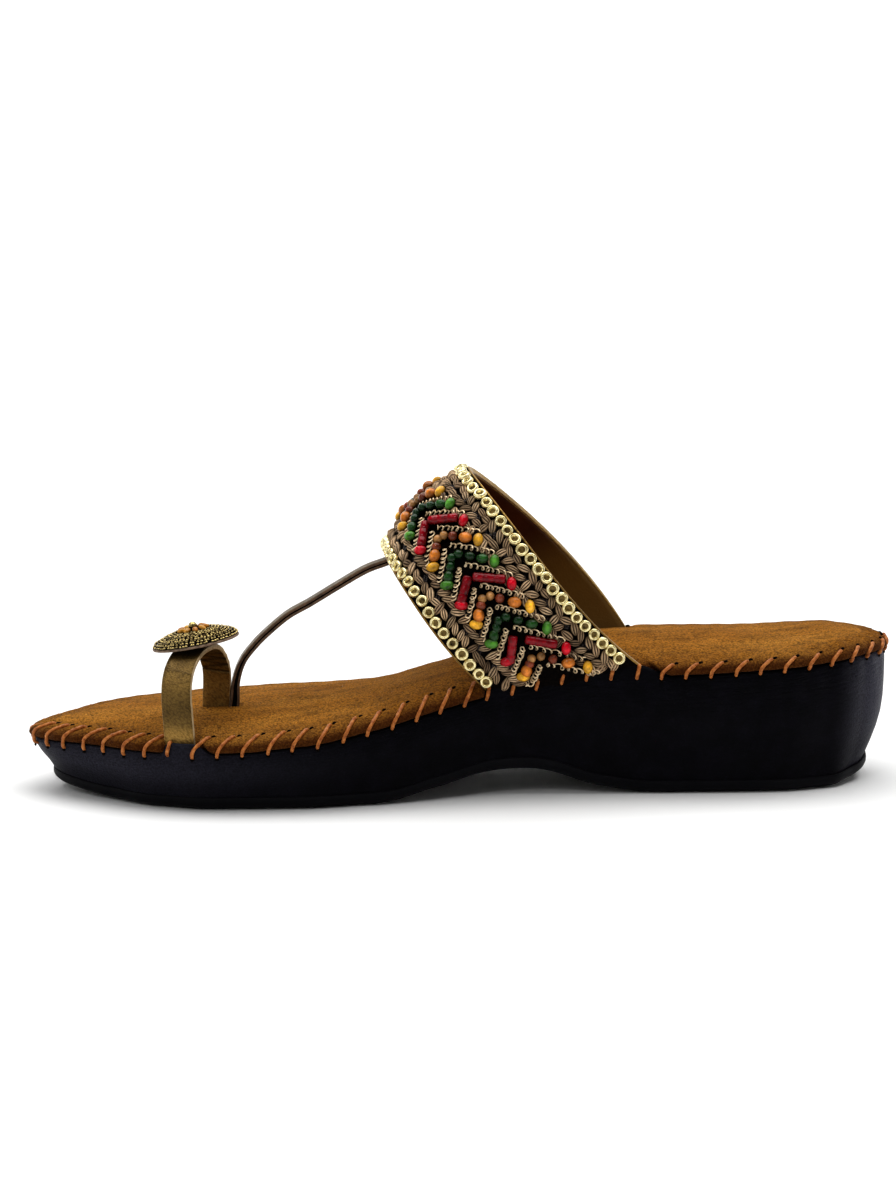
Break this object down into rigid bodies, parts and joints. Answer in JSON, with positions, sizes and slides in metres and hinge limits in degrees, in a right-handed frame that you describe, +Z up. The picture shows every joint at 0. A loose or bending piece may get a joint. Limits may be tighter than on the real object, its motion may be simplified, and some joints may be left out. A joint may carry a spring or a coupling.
{
  "type": "toe-loop sandal",
  "caption": "Right-foot slip-on sandal: beaded instep band, thin centre strip and big-toe loop on a black wrapped wedge sole with a padded tan suede footbed.",
  "frame": {"origin": "floor level, under the centre of the sandal's bounding box", "axes": "+X towards the heel, -X towards the toe, -Y towards the inner side of the foot, +Z up"},
  "size_m": [0.2584, 0.0884, 0.0958],
  "materials": {
    "sole_rubber": "satin moulded rubber",
    "black_wrap": "fine-grained, semi-matte",
    "tan_suede": "napped suede",
    "bronze_leather": "metallic bronze, soft sheen",
    "embroidery": "bead and thread embroidery",
    "gold_beads": "antique gold"
  },
  "bodies": {
    "root": {"outsole": "sole_rubber", "midsole": "black_wrap", "footbed": "tan_suede", "upper": "bronze_leather", "beaded_panel": "embroidery", "bead_edging_front": "gold_beads", "bead_edging_rear": "gold_beads", "toe_ornament": "gold_beads"}
  },
  "joints": []
}
